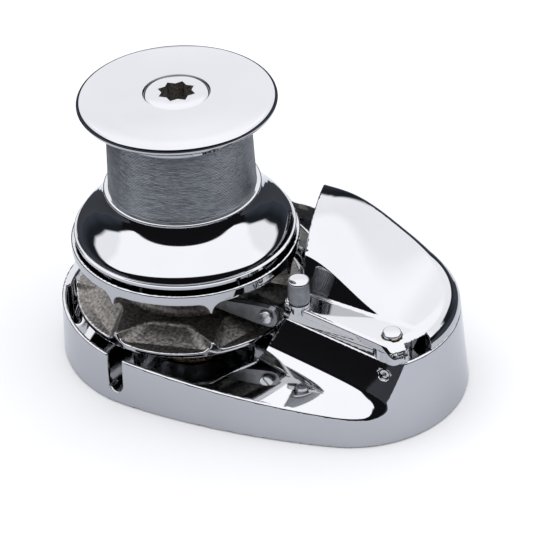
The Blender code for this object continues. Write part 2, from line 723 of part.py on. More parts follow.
def stripper():
    """Upright tapered plate that lifts the chain out of the chainwheel, and its screw."""
    x, z = STRIPPER_SCREW
    tip = [(0.0350, 0.0545), (0.0350, 0.0605), (0.0400, 0.0612)]
    upper = [(0.0650, 0.0635), (0.0735, 0.0635)]
    end = [(0.0772, 0.0625), (0.0790, 0.0590), (0.0790, 0.0550), (0.0772, 0.0505), (0.0735, 0.0490)]
    lower = [(0.0650, 0.0495), (0.0450, 0.0525)]
    outline = tip + upper + end + lower
    loops = [[(px, y, pz) for px, pz in outline] for y in (-0.0329, -0.0292)]
    plate = loft("stripper_plate", loops, steel(), (x, -0.0310, z))
    cut(plate, across_cylinder("plate_hole", 0.0031, x, z, -0.0400, -0.0200, None, 16))
    screw = across_cylinder("stripper_screw", 0.0048, x, z, -0.0351, -0.0332, steel(), 24)
    shank = across_cylinder("stripper_screw_shank", 0.0025, x, z, -0.0340, -0.0160, None, 16)
    combine(screw, shank, "UNION")
    slot = prism("screw_slot", [(-0.0060, -0.0005), (0.0060, -0.0005), (0.0060, 0.0005),
                                (-0.0060, 0.0005)], -0.0010, 0.0010, None)
    slot.matrix_world = Matrix.Translation((x, -0.0351, z)) @ Matrix.Rotation(radians(-60), 4, "Y") \
        @ Matrix.Rotation(pi / 2, 4, "X")
    cut(screw, slot)


def build():
    clear_scene()
    base_casting()
    deck_gasket()
    rotating_stack()
    chain_pipe_cover()
    pressure_arm()
    pivot_group()
    pivot_set_screw()
    lock_knob_group()
    stripper()


build()
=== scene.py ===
"""Looks of the vertical anchor windlass: polished castings, a grooved drum and a rough chainwheel.

The castings are drawn as smooth fields in millimetres, meshed with a surface net and shaded with
the field's own slope, so their fillets reflect like polished metal.
"""

import json
from math import cos, pi, radians, sin

import bmesh
import bpy
import numpy as np
from mathutils import Matrix, Vector


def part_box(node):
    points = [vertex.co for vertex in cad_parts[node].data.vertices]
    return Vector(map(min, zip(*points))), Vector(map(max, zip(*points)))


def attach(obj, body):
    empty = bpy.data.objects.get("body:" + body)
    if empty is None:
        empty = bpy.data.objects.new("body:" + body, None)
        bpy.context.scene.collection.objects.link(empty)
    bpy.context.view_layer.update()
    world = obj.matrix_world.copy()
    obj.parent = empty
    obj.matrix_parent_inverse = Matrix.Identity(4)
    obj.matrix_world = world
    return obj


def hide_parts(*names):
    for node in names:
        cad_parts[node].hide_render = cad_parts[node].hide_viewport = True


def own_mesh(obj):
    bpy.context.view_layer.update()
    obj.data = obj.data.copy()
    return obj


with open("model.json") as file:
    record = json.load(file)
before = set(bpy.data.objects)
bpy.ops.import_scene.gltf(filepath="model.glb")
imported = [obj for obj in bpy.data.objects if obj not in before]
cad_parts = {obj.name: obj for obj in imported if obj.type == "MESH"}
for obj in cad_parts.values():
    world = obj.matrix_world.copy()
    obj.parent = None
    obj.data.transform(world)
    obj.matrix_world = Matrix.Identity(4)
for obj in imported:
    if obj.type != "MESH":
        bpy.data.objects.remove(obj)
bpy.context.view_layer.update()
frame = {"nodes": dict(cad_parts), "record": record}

# ---------------------------------------------------------------- sizes, in millimetres

TOWER_TOP = 56.0
COVER_LOW = 56.3
LEDGE_LOW = 64.0
LEDGE_TOP = 70.0
WELL_FLOOR = 9.5
WELL_RADIUS = 79.6
PIVOT = (159.5, -37.0)
KNOB = (93.5, -29.5)
SHAFT_END_RADIUS = 86.6
HOOD_END_RADIUS = 77.0
HOOD_END_X = 116.0
FLANK_RADIUS = 462.0
SET_SCREW = (159.0, 47.0)
DRAIN_ANGLE = radians(-99.3)
HOOD_LOW = 59.0
POCKETS = 7
POCKET_TURN = radians(-77.9)
POCKET_HEIGHT = 58.95
FLANGE_RADIUS = 75.0
DRUM_GROOVES = 42
BARREL_TOP = 170.0
BARREL_HEIGHT = 46.6
KNOB_FLUTES = 30
SOCKET_POINTS = 8

# ---------------------------------------------------------------- studio, in metres and degrees

ROOM_FRONT = (0.432, -0.902, 0.0)
# Centre and radius of the floor's painted bluish-grey reflection; beyond it the floor's reflection
# is painted dark.
PAINTED_REFLECTION_CENTRE = (0.060, 0.0, 0.0)
PAINTED_REFLECTION_RADIUS = 0.33
CAMERA_AZIMUTH = 25.6
CAMERA_ELEVATION = 35.6
CAMERA_ROLL = -2.40
CAMERA_DISTANCE = 1.488
CAMERA_ASIDE = 0.050
CAMERA_UP = 0.0449
CAMERA_LENS = 148.5


# ---------------------------------------------------------------- fields

def round_max(a, b, radius):
    """Both must hold: a convex edge with a round of the given radius."""
    corner = np.hypot(np.maximum(a + radius, 0.0), np.maximum(b + radius, 0.0))
    return np.minimum(np.maximum(a, b), -radius) + corner


def round_min(a, b, radius):
    """Either may hold: an inner edge with a fillet of the given radius."""
    return -round_max(-a, -b, radius)


def teardrop(x, y, z):
    """Distance from the base's leaning outer wall, negative inside."""
    z = np.clip(z, -20.0, 120.0)
    shaft_end = SHAFT_END_RADIUS - 0.045 * z
    hood_end = HOOD_END_RADIUS - 0.105 * z
    to_shaft = FLANK_RADIUS - shaft_end
    to_hood = FLANK_RADIUS - hood_end
    across = (to_shaft**2 - to_hood**2 + HOOD_END_X**2) / (2.0 * HOOD_END_X)
    back = np.sqrt(to_shaft**2 - across**2)
    y = -np.abs(y)
    angle = np.arctan2(y - back, x - across)
    flank = np.hypot(x - across, y - back) - FLANK_RADIUS
    left = np.hypot(x, y) - shaft_end
    right = np.hypot(x - HOOD_END_X, y) - hood_end
    first = np.arctan2(-back, -across)
    last = np.arctan2(-back, HOOD_END_X - across)
    return np.where(angle < first, left, np.where(angle > last, right, flank))


def rim_height(x, y):
    return 32.7 - 0.086 * x - 0.02 * y


def front_wall(x, y, z):
    """Distance in front of the tower's leaning front wall."""
    return 0.898 * (-38.0 - 0.250 * (x - 75.0) + 0.43 * (z - 29.0) - y)


def deck_and_tower(x, y, z, side):
    """The low front deck, rising to the foot of the tower, and the tower on it."""
    front = front_wall(x, y, z)
    face = 77.5 + 0.34 * (z - 29.0) - np.hypot(x, y)
    plan = round_max(round_max(front, face, 2.0), side - 4.0, 16.0)
    tower = round_max(plan, z - TOWER_TOP, 1.0)
    away = np.hypot(np.maximum(front, 0.0), np.maximum(face, 0.0))
    share = np.clip(-side, 0.0, None) / (np.clip(-side, 0.0, None) + away + 4.0)
    deck = z - (rim_height(x, y) + (29.5 - rim_height(x, y)) * share)
    return round_max(round_min(deck, tower, 7.0), side, 1.3)


def well_space(x, y, z, side):
    """The round well under the chainwheel, let out to the rim at the front."""
    circle = np.hypot(x, y) - WELL_RADIUS
    lip = 0.918 * (x - 68.0 - 0.432 * (y + 38.0))
    near = round_max(round_max(lip, side + 3.6, 6.0), y + 30.0, 2.0)
    return round_max(round_min(circle, near, 5.0), WELL_FLOOR - z, 7.0)


def chain_way(x, y, z):
    """The trough behind the chainwheel and the chain pipe that it leads to."""
    trough = round_max(np.maximum(np.abs(x - 86.0) - 45.0, np.abs(y - 33.0) - 25.0), 36.0 - z, 5.0)
    pipe = np.hypot(x - 112.0, y - np.clip(y, 26.0, 38.0)) - 20.0
    return np.minimum(trough, pipe)


def drain_slot(x, y, z):
    across = y * cos(DRAIN_ANGLE) - x * sin(DRAIN_ANGLE)
    outward = x * cos(DRAIN_ANGLE) + y * sin(DRAIN_ANGLE)
    slot = np.hypot(across, np.minimum(z - 14.3, 0.0)) - 5.6
    return np.maximum(slot, 70.0 - outward)


def fitted_holes(x, y, z, side):
    """The gasket's seat, the shaft's bore, the pivot's bore and the set screw's hole."""
    radius = np.hypot(x, y)
    seat = np.maximum(side + 3.2, z - 2.0)
    bore = np.minimum(radius - 15.0, np.maximum(radius - 19.0, 16.0 - z))
    pin = np.hypot(x - PIVOT[0], y - PIVOT[1])
    seat = np.minimum(seat, np.minimum(bore, np.maximum(pin - 8.0, 50.5 - z)))
    screw = np.maximum(np.hypot(x - SET_SCREW[0], z - SET_SCREW[1]) - 3.4, y + 44.0)
    return np.minimum(seat, screw)


def base_field(x, y, z):
    side = teardrop(x, y, z)
    body = deck_and_tower(x, y, z, side)
    body = round_max(body, -well_space(x, y, z, side), 1.3)
    body = round_min(body, np.maximum(np.hypot(x, y) - 26.0, z - 22.0), 3.0)
    body = round_max(body, -chain_way(x, y, z), 1.0)
    body = round_max(body, -drain_slot(x, y, z), 0.7)
    return np.maximum(np.maximum(body, -fitted_holes(x, y, z, side)), -z)


def shoulder(side, top):
    """The cover's sloping shoulder, between its flat or crowned top and its outer wall."""
    return 0.766 * side + 0.643 * top + 4.4


def hood_fade(x):
    """1 over the mouth, falling smoothly to 0 where the hood runs out into the flat end."""
    t = np.clip((x - 84.0) / 82.0, 0.0, 1.0)
    return 0.5 + 0.5 * np.cos(pi * t)


def hood_field(x, y, z, inset):
    """Hood alone, or with an inset its hollow, which runs out through the mouth."""
    fade = hood_fade(x)
    low = -14.0 - 0.125 * (x - 87.0)
    near = 0.916 * (low - 2.5 + 0.42 * (z - 70.0) - y)
    high = 77.0 - 0.15 * np.clip(x - 80.0, 0.0, 90.0)
    across = (2.0 * y - low - high) / (high - low)
    top = LEDGE_TOP + fade * (22.0 + 8.0 * (1.0 - np.clip(across * across, 0.0, 1.2)))
    slope = 0.4 * np.sin(pi * np.clip((x - 84.0) / 82.0, 0.0, 1.0))
    cap = (z - top) / np.sqrt(1.0 + slope * slope)
    side = teardrop(x, y, z) + 1.0
    shape = round_max(round_max(near + inset, cap + inset, 2.2), side + inset, 3.0)
    shape = round_max(shape, shoulder(side + inset, cap + inset), 3.0)
    mouth = 83.6 - 0.970 * x - 0.242 * y
    return round_max(shape, mouth - 8.0 * inset, 0.8)


def cover_field(x, y, z):
    """Ledge and hood in one casting, hollow below, with its holes and its stop notch."""
    radius = np.hypot(x, y)
    side = teardrop(x, y, z)
    front = front_wall(x, y, 51.0)
    plan = round_max(front, 85.5 - radius, 5.0)
    ledge = round_max(round_max(plan, z - LEDGE_TOP, 1.6), side, 2.0)
    ledge = round_max(ledge, shoulder(side, z - LEDGE_TOP), 2.0)
    ledge = np.maximum(ledge, COVER_LOW - z)
    hood = np.maximum(hood_field(x, y, z, 0.0), HOOD_LOW - z)
    body = round_min(ledge, hood, 1.5)

    hub = np.hypot(x - PIVOT[0], y - PIVOT[1]) - 12.5
    arm_space = np.minimum(np.maximum(x - 156.5, y + 12.0), hub)
    inner = np.maximum(side + 6.2, -(y + 24.0))
    space = np.maximum(np.minimum(arm_space, inner), z - LEDGE_LOW)
    hollow = np.minimum(space, hood_field(x, y, z, 4.5))
    body = round_max(body, -hollow, 0.6)

    pin = np.hypot(x - PIVOT[0], y - PIVOT[1]) - 6.3
    knob = np.hypot(x - KNOB[0], y - KNOB[1]) - 5.3
    along = 0.472 * (x - 176.0) + 0.882 * (y + 33.5)
    inward = 0.882 * (x - 176.0) - 0.472 * (y + 33.5)
    notch = np.maximum(np.maximum(np.abs(along) - 9.0, np.abs(inward - 2.0) - 9.0), z - 67.0)
    holes = np.minimum(np.minimum(pin, knob), notch)
    return round_max(body, -holes, 0.5)


def gypsy_field(x, y, z):
    """Chainwheel: two flanges, the groove between them, and a pocket for each flat link."""
    radius = np.hypot(x, y)
    upper = np.interp(radius, [42.0, 47.0, 75.0], [63.0, 66.0, 69.5])
    lower = np.interp(radius, [42.0, 47.0, 75.0], [52.0, 49.0, 46.5])
    groove = round_max(round_max(z - upper, lower - z, 3.0), 42.0 - radius, 4.0)
    rim = round_max(radius - FLANGE_RADIUS, np.abs(z - 60.95) - 24.45, 0.9)
    wheel = round_max(rim, -groove, 0.8)
    turn = np.arctan2(y, x) - POCKET_TURN
    pitch = 2.0 * pi / POCKETS
    turn = turn - pitch * np.round(turn / pitch)
    reach = radius * np.cos(turn)
    across = np.abs(radius * np.sin(turn))
    wide = np.interp(reach, [50.0, 60.0, 67.6, 80.0], [15.5, 24.0, 32.0, 40.0])
    tall = np.interp(reach, [50.0, 60.0, 67.6, 80.0], [10.0, 14.5, 18.4, 19.4])
    corner = 9.0
    out_s = np.maximum(across - wide + corner, 0.0)
    out_z = np.maximum(np.abs(z - POCKET_HEIGHT) - tall + corner, 0.0)
    inside = np.minimum(np.maximum(across - wide, np.abs(z - POCKET_HEIGHT) - tall) + corner, 0.0)
    pocket = 0.8 * (np.hypot(out_s, out_z) + inside - corner)
    pocket = round_max(pocket, 50.5 - reach, 5.0)
    wheel = round_max(wheel, -pocket, 0.8)
    slope = np.where(z > 61.0, 36.2 + 0.37 * (z - 72.0), 36.2 + 0.37 * (49.5 - z))
    web = np.abs(z - 60.75) - 11.25
    bore = np.maximum(radius - slope, -web)
    return np.maximum(np.maximum(wheel, -bore), 16.5 - radius)


# ---------------------------------------------------------------- mesh helpers

def gradient(field, points, reach=0.05):
    result = np.empty_like(points)
    for axis in range(3):
        step = np.zeros(3)
        step[axis] = reach
        ahead = field(*(points + step).T)
        behind = field(*(points - step).T)
        result[:, axis] = (ahead - behind) / (2.0 * reach)
    return result


def crossed_cells(inside):
    """Which cells of the grid have corners on both sides of the surface."""
    count = [size - 1 for size in inside.shape]
    total = np.zeros(count, int)
    for i, j, k in np.ndindex(2, 2, 2):
        total += inside[i:i + count[0], j:j + count[1], k:k + count[2]]
    return (total > 0) & (total < 8)


def cell_points(value, cells):
    """For each cell, the mean of the points where its edges cross the surface, in grid units."""
    place = np.zeros((len(cells), 3))
    hits = np.zeros(len(cells))
    for axis in range(3):
        for u, v in np.ndindex(2, 2):
            start = np.insert(np.array([u, v]), axis, 0)
            end = np.insert(np.array([u, v]), axis, 1)
            a = value[tuple((cells + start).T)]
            b = value[tuple((cells + end).T)]
            crossed = (a < 0.0) != (b < 0.0)
            share = np.where(crossed, a / np.where(crossed, a - b, 1.0), 0.0)
            point = cells + start + share[:, None] * (end - start)
            place += point * crossed[:, None]
            hits += crossed
    return place / hits[:, None]


def pull_onto(field, points, step):
    for _ in range(5):
        slope = gradient(field, points)
        size = np.maximum((slope**2).sum(1), 0.05)
        move = -(field(*points.T) / size)[:, None] * slope
        points += np.clip(move, -0.6 * step, 0.6 * step)
    return points


def net_faces(inside, index):
    """A quad across each grid edge that crosses the surface, facing outward."""
    faces = []
    for axis in range(3):
        b, c = (axis + 1) % 3, (axis + 2) % 3
        first = [slice(1, size - 1) for size in inside.shape]
        first[axis] = slice(0, inside.shape[axis] - 1)
        second = list(first)
        second[axis] = slice(1, inside.shape[axis])
        near = inside[tuple(first)]
        far = inside[tuple(second)]
        spots = np.argwhere(near != far)
        spots += np.array([s.start for s in first])
        corners = []
        for u, v in ((1, 1), (0, 1), (0, 0), (1, 0)):
            cell = spots.copy()
            cell[:, b] -= u
            cell[:, c] -= v
            corners.append(index[tuple(cell.T)])
        quads = np.stack(corners, 1)
        flip = ~near[near != far]
        quads[flip] = quads[flip][:, ::-1]
        faces.append(quads)
    return np.concatenate(faces)


def net_mesh(name, field, low, high, step):
    """Meshes the field's zero level: a vertex in each crossed cell, pulled onto the surface."""
    axes = [np.arange(low[i], high[i] + step, step) for i in range(3)]
    value = field(*np.meshgrid(*axes, indexing="ij"))
    inside = value < 0.0
    active = crossed_cells(inside)
    index = np.full(active.shape, -1)
    index[active] = np.arange(active.sum())
    points = np.array(low) + step * cell_points(value, np.argwhere(active))
    points = pull_onto(field, points, step)
    faces = net_faces(inside, index)
    slope = gradient(field, points)
    normals = slope / np.linalg.norm(slope, axis=1)[:, None]
    mesh = bpy.data.meshes.new(name)
    mesh.from_pydata((points * 0.001).tolist(), [], faces.tolist())
    mesh.shade_smooth()
    mesh.normals_split_custom_set_from_vertices(normals.tolist())
    return link(name, mesh)


def face_centres(mesh):
    """The centres of a mesh's faces in millimetres, as x, y and z."""
    centres = np.empty(3 * len(mesh.polygons))
    mesh.polygons.foreach_get("center", centres)
    return (1000.0 * centres.reshape(-1, 3)).T


def link(name, mesh):
    obj = bpy.data.objects.new(name, mesh)
    bpy.context.scene.collection.objects.link(obj)
    return obj


def lathe(name, profile, centre=(0.0, 0.0), steps=192, closed=False, sharp=30.0):
    """Turns a profile in millimetres about the vertical line through centre."""
    turned = bmesh.new()
    points = [turned.verts.new((0.001 * (centre[0] + r), 0.001 * centre[1], 0.001 * z))
              for r, z in profile]
    pairs = list(zip(points, points[1:]))
    if closed:
        pairs.append((points[-1], points[0]))
    edges = [turned.edges.new(pair) for pair in pairs]
    bmesh.ops.spin(turned, geom=points + edges, cent=(0.001 * centre[0], 0.001 * centre[1], 0.0),
                   axis=(0.0, 0.0, 1.0), angle=2.0 * pi, steps=steps, use_merge=True)
    bmesh.ops.remove_doubles(turned, verts=turned.verts, dist=1e-7)
    bmesh.ops.recalc_face_normals(turned, faces=turned.faces)
    mesh = bpy.data.meshes.new(name)
    turned.to_mesh(mesh)
    turned.free()
    mesh.shade_smooth()
    mesh.set_sharp_from_angle(angle=radians(sharp))
    return link(name, mesh)


def arc(centre, radius, start, end, count):
    turns = [radians(start + (end - start) * i / (count - 1)) for i in range(count)]
    return [(centre[0] + radius * cos(t), centre[1] + radius * sin(t)) for t in turns]


def smooth_run(points, rounds=3):
    """Cuts the corners of an open run of points, which turns it into a smooth curve."""
    for _ in range(rounds):
        cut = [points[0]]
        for (x0, y0), (x1, y1) in zip(points, points[1:]):
            cut.append((0.75 * x0 + 0.25 * x1, 0.75 * y0 + 0.25 * y1))
            cut.append((0.25 * x0 + 0.75 * x1, 0.25 * y0 + 0.75 * y1))
        points = cut + [points[-1]]
    return points


# ---------------------------------------------------------------- materials

def shader_nodes(name):
    made = bpy.data.materials.new(name)
    made.use_nodes = True
    nodes = made.node_tree.nodes
    return made, nodes, made.node_tree.links, nodes["Principled BSDF"]


def noise(nodes, links, scale, detail=3.0, stretch=(1.0, 1.0, 1.0)):
    where = nodes.new("ShaderNodeTexCoord")
    mapping = nodes.new("ShaderNodeMapping")
    mapping.inputs["Scale"].default_value = stretch
    texture = nodes.new("ShaderNodeTexNoise")
    texture.inputs["Scale"].default_value = scale
    texture.inputs["Detail"].default_value = detail
    links.new(where.outputs["Object"], mapping.inputs["Vector"])
    links.new(mapping.outputs["Vector"], texture.inputs["Vector"])
    return texture.outputs["Fac"]


def ranged(nodes, links, value, low, high):
    mapped = nodes.new("ShaderNodeMapRange")
    mapped.inputs["To Min"].default_value = low
    mapped.inputs["To Max"].default_value = high
    links.new(value, mapped.inputs["Value"])
    return mapped.outputs["Result"]


def coloured(nodes, links, value, dark, light):
    ramp = nodes.new("ShaderNodeValToRGB")
    ramp.color_ramp.elements[0].color = (*dark, 1.0)
    ramp.color_ramp.elements[1].color = (*light, 1.0)
    ramp.color_ramp.elements[0].position = 0.3
    ramp.color_ramp.elements[1].position = 0.7
    links.new(value, ramp.inputs["Fac"])
    return ramp.outputs["Color"]


def metal(name, dark, light, rough, bump=0.0, scale=60.0, stretch=(1.0, 1.0, 1.0), detail=3.0):
    """Metal with a slightly uneven polish and colour, and optional grain."""
    made, nodes, links, shader = shader_nodes(name)
    shader.inputs["Metallic"].default_value = 1.0
    grain = noise(nodes, links, scale, detail, stretch)
    links.new(coloured(nodes, links, grain, dark, light), shader.inputs["Base Color"])
    links.new(ranged(nodes, links, grain, *rough), shader.inputs["Roughness"])
    if bump:
        raised = nodes.new("ShaderNodeBump")
        raised.inputs["Strength"].default_value = bump
        raised.inputs["Distance"].default_value = 0.0004
        links.new(grain, raised.inputs["Height"])
        links.new(raised.outputs["Normal"], shader.inputs["Normal"])
    return made


def rubber(name):
    made, nodes, links, shader = shader_nodes(name)
    grain = noise(nodes, links, 900.0)
    links.new(coloured(nodes, links, grain, (0.02, 0.02, 0.02), (0.04, 0.04, 0.04)),
              shader.inputs["Base Color"])
    links.new(ranged(nodes, links, grain, 0.6, 0.8), shader.inputs["Roughness"])
    return made


CHROME = metal("polished_steel", (0.475, 0.48, 0.495), (0.505, 0.51, 0.525), (0.03, 0.06),
               scale=14.0)
SATIN = metal("satin_grooves", (0.15, 0.162, 0.175), (0.25, 0.265, 0.285), (0.26, 0.36), 0.25,
              scale=220.0, stretch=(1.0, 1.0, 12.0))
MATTE = metal("matte_steel", (0.22, 0.23, 0.245), (0.32, 0.33, 0.345), (0.34, 0.50), 0.2,
              scale=260.0)
STEEL = metal("turned_steel", (0.52, 0.53, 0.55), (0.60, 0.61, 0.63), (0.14, 0.24), scale=120.0)
BRONZE = metal("bronze", (0.50, 0.34, 0.15), (0.62, 0.44, 0.22), (0.22, 0.34), scale=120.0)
CAST = metal("cast_pockets", (0.085, 0.078, 0.072), (0.30, 0.285, 0.27), (0.30, 0.50), 0.9,
             scale=520.0, detail=4.0)
SOCKET = metal("broached_socket", (0.10, 0.09, 0.08), (0.42, 0.39, 0.36), (0.45, 0.60), 0.8,
               scale=700.0)
RUBBER = rubber("black_rubber")


def dress(obj, *looks):
    obj.data.materials.clear()
    for look in looks:
        obj.data.materials.append(look)


def carve(obj, cutter):
    """Cuts one mesh out of another, and keeps only the result."""
    hole = obj.modifiers.new("cut", "BOOLEAN")
    hole.object = cutter
    hole.solver = "EXACT"
    graph = bpy.context.evaluated_depsgraph_get()
    mesh = bpy.data.meshes.new_from_object(obj.evaluated_get(graph))
    obj.modifiers.clear()
    obj.data = mesh
    bpy.data.objects.remove(cutter, do_unlink=True)
    mesh.shade_smooth()
    mesh.set_sharp_from_angle(angle=radians(30.0))


# ---------------------------------------------------------------- pieces

def make_base():
    base = net_mesh("base_body", base_field, (-90.0, -91.0, -3.0), (196.0, 91.0, 59.0), 1.3)
    dress(base, CHROME)
    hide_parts("base_casting")
    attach(base, "base")


def make_cover():
    cover = net_mesh("cover_body", cover_field, (15.0, -62.0, 52.0), (192.0, 91.0, 104.0), 1.1)
    dress(cover, CHROME, MATTE)
    x, y, z = face_centres(cover.data)
    hidden = (teardrop(x, y, z) < -5.5) & (z > COVER_LOW + 0.5) & (z < LEDGE_LOW + 0.6)
    hidden |= hood_field(x, y, z, 0.0) < -3.2
    cover.data.polygons.foreach_set("material_index", hidden.astype(np.int32))
    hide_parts("chain_pipe_cover")
    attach(cover, "cover")


def make_gypsy():
    wheel = net_mesh("chainwheel", gypsy_field, (-77.0, -77.0, 34.0), (77.0, 77.0, 88.0), 1.1)
    dress(wheel, CAST, CHROME)
    x, y, z = face_centres(wheel.data)
    plain = (np.hypot(x, y) > FLANGE_RADIUS - 1.0) | (z > 84.0) | (z < 38.0)
    wheel.data.polygons.foreach_set("material_index", plain.astype(np.int32))
    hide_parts("gypsy")
    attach(wheel, "chainwheel")


def drum_profile():
    """Domed top, grooved barrel, bell skirt and stepped lip, then the inside back to the top."""
    top = [(21.5, 190.1), (34.0, 189.8), (46.0, 189.2), (54.0, 188.7)]
    top += arc((60.0, 184.9), 3.5, 84.0, -50.0, 18)
    under = smooth_run([(61.8, 181.9), (58.0, 181.4), (52.0, 180.6), (48.4, 177.0), (46.9, 172.6),
                        (46.3, 170.4)], 2)
    barrel = []
    pitch = BARREL_HEIGHT / DRUM_GROOVES
    for i in range(DRUM_GROOVES):
        high = BARREL_TOP - BARREL_HEIGHT * i / DRUM_GROOVES
        radius = 46.2 + 1.8 * i / DRUM_GROOVES
        groove = (radius - 0.16, high - 0.72 * pitch)
        barrel += [(radius, high), (radius, high - 0.55 * pitch), groove]
    foot = [(48.1, 123.3), (49.2, 123.2)] + arc((49.9, 121.9), 1.3, 100.0, -40.0, 8)
    skirt = smooth_run([(51.2, 120.4), (52.6, 116.8), (54.9, 113.0), (57.0, 110.0), (59.6, 107.0),
                        (62.3, 104.0), (65.2, 101.0), (67.9, 98.0), (70.3, 94.8), (71.1, 92.6)], 3)
    lip = [(71.15, 91.7), (71.6, 91.5), (72.3, 91.4), (72.7, 91.0), (72.7, 89.1), (72.2, 88.5)]
    inside = [(69.2, 88.5), (67.2, 93.0), (62.0, 98.5), (52.0, 108.0), (43.0, 113.0),
              (41.0, 168.0), (24.0, 168.0), (24.0, 87.3), (11.6, 87.3), (11.6, 155.0),
              (17.6, 155.0), (17.6, 177.7), (21.5, 177.7)]
    return top + under + barrel + foot + skirt + lip + inside


def make_drum():
    drum = lathe("drum_body", drum_profile(), closed=True, steps=224, sharp=24.0)
    dress(drum, CHROME, SATIN)
    for face in drum.data.polygons:
        reach = 1000.0 * Vector((face.center.x, face.center.y)).length
        height = 1000.0 * face.center.z
        face.material_index = int(45.0 < reach < 48.4 and 123.4 < height < 170.2)
    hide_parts("drum")
    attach(drum, "shaft")


def socket_cutter():
    """An upright star prism, the shape of the handle's socket."""
    star = bmesh.new()
    corners = 2 * SOCKET_POINTS
    outline = []
    for i in range(corners):
        t = pi * i / SOCKET_POINTS + radians(8.0)
        reach = 0.0124 if i % 2 == 0 else 0.0095
        outline.append((reach * cos(t), reach * sin(t)))
    rows = [[star.verts.new((x, y, z)) for x, y in outline] for z in (0.1725, 0.2000)]
    for i in range(corners):
        j = (i + 1) % corners
        star.faces.new((rows[0][i], rows[0][j], rows[1][j], rows[1][i]))
    star.faces.new(list(reversed(rows[0])))
    star.faces.new(rows[1])
    bmesh.ops.recalc_face_normals(star, faces=star.faces)
    mesh = bpy.data.meshes.new("socket_shape")
    star.to_mesh(mesh)
    star.free()
    return link("socket_shape", mesh)


def make_nut():
    """Flush socket ring: a lathe, with the eight-point socket let in by a Boolean."""
    profile = [(9.0, 190.5), (18.6, 190.5), (19.4, 190.3), (20.9, 189.2), (21.2, 188.7),
               (21.2, 178.1), (17.2, 178.1), (17.2, 158.0), (11.3, 158.0), (11.3, 171.9),
               (9.0, 171.9)]
    nut = lathe("socket_nut", profile, closed=True, steps=128)
    carve(nut, socket_cutter())
    dress(nut, CHROME, SOCKET)
    for face in nut.data.polygons:
        reach = Vector((face.center.x, face.center.y)).length
        face.material_index = int(reach < 0.0127 and abs(face.normal.z) < 0.5)
    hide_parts("clutch_nut")
    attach(nut, "clutch")


def make_pin():
    head = [(0.0, 72.9), (3.0, 72.7)] + arc((4.6, 71.2), 1.5, 80.0, -10.0, 8)
    profile = head + [(6.1, 70.3), (4.0, 70.3), (4.0, 30.5), (0.0, 30.5)]
    pin = lathe("pivot_pin_body", profile, PIVOT, steps=64)
    dress(pin, CHROME)
    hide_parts("pivot_pin")
    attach(pin, "base")


def make_knob():
    """Knurled knob: straight flutes round its side and a bright, bevelled top."""
    steps = KNOB_FLUTES * 6
    rows = [(0.0, 90.0, 0.0), (5.4, 90.0, 0.0), (6.3, 89.7, 0.0), (6.9, 89.0, 0.3),
            (7.1, 88.2, 1.0), (7.1, 81.0, 1.0), (7.1, 74.6, 1.0), (6.9, 73.8, 0.3),
            (6.2, 72.9, 0.0), (5.8, 72.8, 0.0), (5.8, 79.6, 0.0), (2.8, 79.6, 0.0),
            (2.8, 86.0, 0.0), (0.0, 86.0, 0.0)]
    made = bmesh.new()
    rings = []
    for reach, height, depth in rows:
        ring = []
        for i in range(steps):
            t = 2.0 * pi * i / steps
            flute = 0.32 * depth * (0.5 - 0.5 * cos(KNOB_FLUTES * t))
            x = KNOB[0] + (reach - flute) * cos(t)
            y = KNOB[1] + (reach - flute) * sin(t)
            ring.append(made.verts.new((0.001 * x, 0.001 * y, 0.001 * height)))
        rings.append(ring)
    for above, below in zip(rings, rings[1:]):
        for i in range(steps):
            j = (i + 1) % steps
            made.faces.new((above[i], above[j], below[j], below[i]))
    bmesh.ops.remove_doubles(made, verts=made.verts, dist=1e-7)
    bmesh.ops.recalc_face_normals(made, faces=made.faces)
    mesh = bpy.data.meshes.new("knob_body")
    made.to_mesh(mesh)
    made.free()
    mesh.shade_smooth()
    mesh.set_sharp_from_angle(angle=radians(40.0))
    knob = link("knob_body", mesh)
    dress(knob, MATTE, CHROME)
    for face in mesh.polygons:
        face.material_index = int(face.center.z > 0.0885)
    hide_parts("lock_knob")
    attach(knob, "plunger")


def make_screw():
    """Cheese-head screw facing the front, with a slot cut slantwise across its head."""
    profile = [(0.0, 2.2), (3.6, 2.1)] + arc((3.9, 1.3), 0.8, 80.0, 0.0, 6)
    profile += [(4.7, 0.2), (2.5, 0.2), (2.5, -17.0), (0.0, -17.0)]
    screw = lathe("slotted_screw", profile, steps=72)
    groove = bmesh.new()
    bmesh.ops.create_cube(groove, size=1.0)
    bmesh.ops.scale(groove, vec=(0.012, 0.0011, 0.0024), verts=groove.verts)
    bmesh.ops.translate(groove, vec=(0.0, 0.0, 0.0022), verts=groove.verts)
    mesh = bpy.data.meshes.new("slot_shape")
    groove.to_mesh(mesh)
    groove.free()
    cutter = link("slot_shape", mesh)
    carve(screw, cutter)
    low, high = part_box("stripper_screw")
    place = Vector((0.5 * (low.x + high.x), high.y - 0.0174, 0.5 * (low.z + high.z)))
    turn = Matrix.Rotation(radians(-55.0), 4, "Y") @ Matrix.Rotation(radians(90.0), 4, "X")
    screw.data.transform(Matrix.Translation(place) @ turn)
    dress(screw, STEEL)
    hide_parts("stripper_screw")
    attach(screw, "arm")


